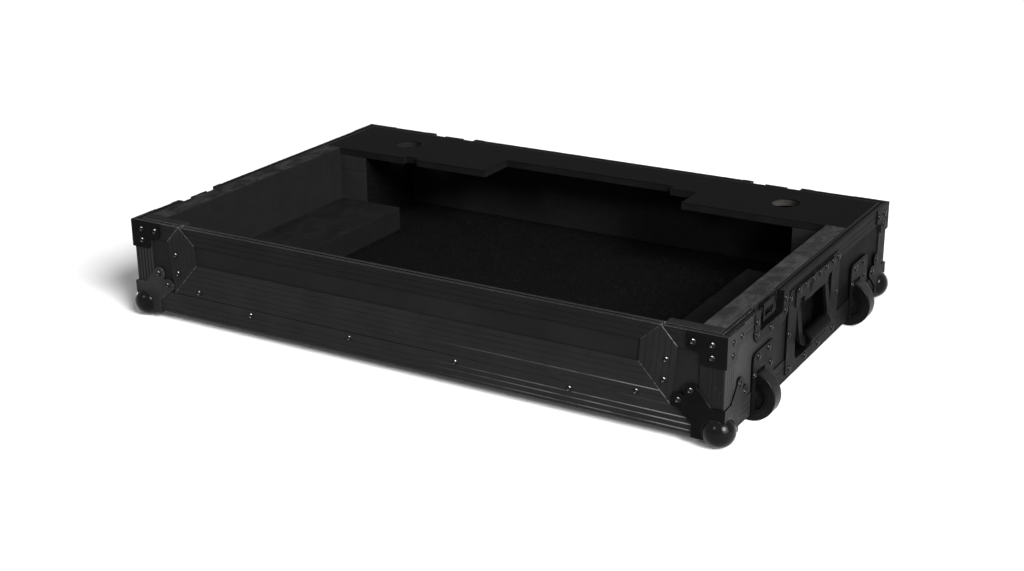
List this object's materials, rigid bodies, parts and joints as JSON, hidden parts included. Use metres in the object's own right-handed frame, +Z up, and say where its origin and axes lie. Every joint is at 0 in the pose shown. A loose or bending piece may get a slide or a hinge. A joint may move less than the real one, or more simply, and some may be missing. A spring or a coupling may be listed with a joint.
{
  "type": "dj coffin case base",
  "caption": "Open base of a DJ coffin flight case: trimmed black tray with drop-in front panel, foam bed, lift-out rear deck, keeper latches, end handles and tow wheels",
  "frame": {"origin": "centre of the base of the bounding box, on the ground under the ball corners and wheels", "axes": "+X right along the long front face towards the wheel end, +Y from the front panel to the back, +Z up"},
  "size_m": [0.926, 0.6, 0.143],
  "materials": {
    "board": "thin plywood faced with satin black laminate",
    "trim": "ribbed extrusion, satin black anodised",
    "steel": "pressed steel, black powder coat",
    "grip_rubber": "soft black moulded grip",
    "tyre": "black tread ring, lightly scuffed",
    "hub_plastic": "black moulded hub",
    "foam": "dark grey closed-cell foam, fine open grain",
    "facing": "thin smooth dark facing on the deck",
    "felt": "short black speckled felt"
  },
  "bodies": {
    "case": {"bottom_panel": "board", "front_wall": "board", "back_wall": "board", "left_wall": "board", "right_wall": "board", "edge_front": "trim", "edge_back": "trim", "edge_left": "trim", "edge_right": "trim", "corner_angles": "trim", "rim_front_posts": "trim", "rim_back": "trim", "rim_left": "trim", "rim_right": "trim", "opening_trim_sides": "trim", "opening_trim_sill": "trim", "ball_corner_front_left": "steel", "ball_corner_front_right": "steel", "ball_corner_back_left": "steel", "ball_corner_back_right": "steel", "corner_braces": "steel", "latch_dish_left": "steel", "latch_dish_right": "steel", "latch_dish_back_left": "steel", "latch_dish_back_right": "steel", "latch_keeper_left": "steel", "latch_keeper_right": "steel", "latch_keeper_back_left": "steel", "latch_keeper_back_right": "steel", "handle_dish_right": "steel", "handle_dish_left": "steel", "handle_covers": "steel", "handle_pins": "steel", "handle_springs": "steel", "wheel_bracket_front": "steel", "wheel_bracket_rear": "steel", "wheel_axles": "steel", "foam_left": "foam", "foam_right": "foam", "foam_step_left": "foam", "foam_step_right": "foam", "foam_rear_posts": "foam", "foam_front_pads": "foam", "floor_lining": "felt", "back_lining": "felt", "rivets": "steel"},
    "front_panel": {"panel_board": "board", "panel_trim_top": "trim", "panel_trim_bottom": "trim", "panel_trim_sides": "trim"},
    "rear_deck": {"deck_board": "board", "deck_facing": "facing"},
    "handle_right": {"handle_bail_right": "steel", "handle_grip_right": "grip_rubber"},
    "handle_left": {"handle_bail_left": "steel", "handle_grip_left": "grip_rubber"},
    "wheel_front": {"wheel_hub_front": "hub_plastic", "wheel_tyre_front": "tyre"},
    "wheel_rear": {"wheel_hub_rear": "hub_plastic", "wheel_tyre_rear": "tyre"}
  },
  "joints": [
    {"name": "panel_lift", "type": "slide", "parent": "case", "child": "front_panel", "axis": [0, 0, 1], "range_m": [0, 0.09]},
    {"name": "deck_lift", "type": "slide", "parent": "case", "child": "rear_deck", "axis": [0, 0, 1], "range_m": [0, 0.12]},
    {"name": "handle_right_swing", "type": "hinge", "parent": "case", "child": "handle_right", "pos_m": [0.43297, -0.006, 0.109], "axis": [0, -1, 0], "range_deg": [0, 90], "stiffness_Nm_per_rad": 0.1, "springref_deg": -34.38},
    {"name": "handle_left_swing", "type": "hinge", "parent": "case", "child": "handle_left", "pos_m": [-0.44503, -0.006, 0.109], "axis": [0, 1, 0], "range_deg": [0, 90], "stiffness_Nm_per_rad": 0.1, "springref_deg": -34.38},
    {"name": "wheel_front_spin", "type": "hinge", "parent": "case", "child": "wheel_front", "pos_m": [0.43097, -0.185, 0.032], "axis": [0, 1, 0], "continuous": true},
    {"name": "wheel_rear_spin", "type": "hinge", "parent": "case", "child": "wheel_rear", "pos_m": [0.43097, 0.164, 0.032], "axis": [0, 1, 0], "continuous": true}
  ]
}
